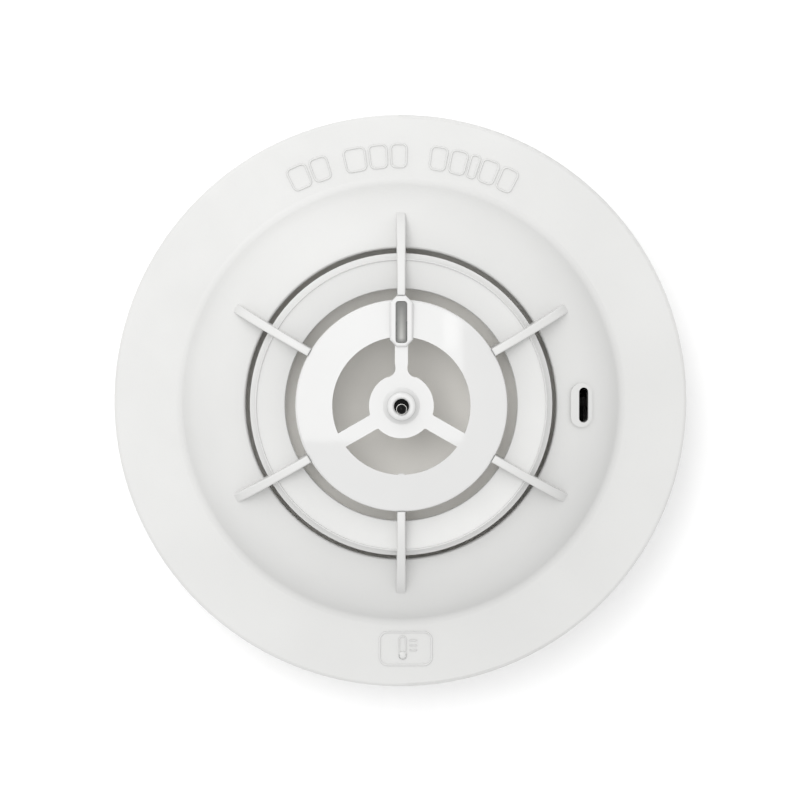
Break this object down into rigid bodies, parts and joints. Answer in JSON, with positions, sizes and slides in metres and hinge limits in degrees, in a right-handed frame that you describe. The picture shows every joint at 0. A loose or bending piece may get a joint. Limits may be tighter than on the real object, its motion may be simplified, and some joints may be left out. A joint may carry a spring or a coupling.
{
  "type": "heat detector",
  "caption": "Round ceiling heat detector: twist-off head with a wide flange, low dome, finned guard ring, raised sensing cap and thermistor, on a flat mounting base with terminals.",
  "frame": {"origin": "centre of the mounting base's back face, on the ceiling plane", "axes": "+Z out of the sensing face, away from the ceiling; +Y towards the alarm light window; +X towards the lock-release slot"},
  "size_m": [0.11, 0.11, 0.0452],
  "materials": {
    "cover_plastic": "fine satin white ABS",
    "cap_plastic": "polished white plastic",
    "baffle_plastic": "satin white plastic",
    "housing_plastic": "satin white plastic",
    "base_plastic": "satin white ABS",
    "tongue_plastic": "satin black acetal",
    "black_rubber": "moulded",
    "bead_epoxy": "glossy epoxy dip",
    "lead_wire": "tinned",
    "light_pipe": "translucent diffusing polycarbonate",
    "led_package": "moulded resin",
    "gasket_foam": "closed-cell foam",
    "board_laminate": "green solder mask",
    "chip_resin": "moulded epoxy",
    "capacitor_can": "drawn can",
    "contact_metal": "nickel-plated phosphor bronze",
    "terminal_steel": "zinc-plated",
    "screw_steel": "zinc-plated",
    "label_film": "blank satin film"
  },
  "bodies": {
    "base": {"base_plate": "base_plastic", "contact_clip_1": "contact_metal", "contact_clip_2": "contact_metal", "contact_clip_3": "contact_metal", "contact_clip_4": "contact_metal", "terminal_screws": "terminal_steel", "clamp_washers": "terminal_steel"},
    "lock_tongue": {"lock_tongue": "tongue_plastic"},
    "head": {"outer_cover": "cover_plastic", "centre_cap": "cap_plastic", "thermistor_boot": "black_rubber", "thermistor_bead": "bead_epoxy", "thermistor_leads": "lead_wire", "light_pipe": "light_pipe", "alarm_led": "led_package", "inner_baffle": "baffle_plastic", "baffle_gasket": "gasket_foam", "circuit_board": "board_laminate", "microcontroller": "chip_resin", "interface_chips": "chip_resin", "capacitors": "capacitor_can", "chip_parts": "chip_resin", "rear_housing": "housing_plastic", "rating_label": "label_film", "frame_screws": "screw_steel", "cover_screws": "screw_steel", "blade_rivets": "contact_metal", "contact_blade_1": "contact_metal", "contact_blade_2": "contact_metal", "contact_blade_3": "contact_metal", "contact_blade_4": "contact_metal"}
  },
  "joints": [
    {"name": "head_twist", "type": "hinge", "parent": "base", "child": "head", "pos_m": [0, 0, 0.0096], "axis": [0, 0, 1], "range_deg": [0, 18]},
    {"name": "lock_release", "type": "hinge", "parent": "base", "child": "lock_tongue", "pos_m": [0.0348, -0.0095, 0.0061], "axis": [-1, 0, 0], "range_deg": [0, 8], "stiffness_Nm_per_rad": 0.4}
  ]
}
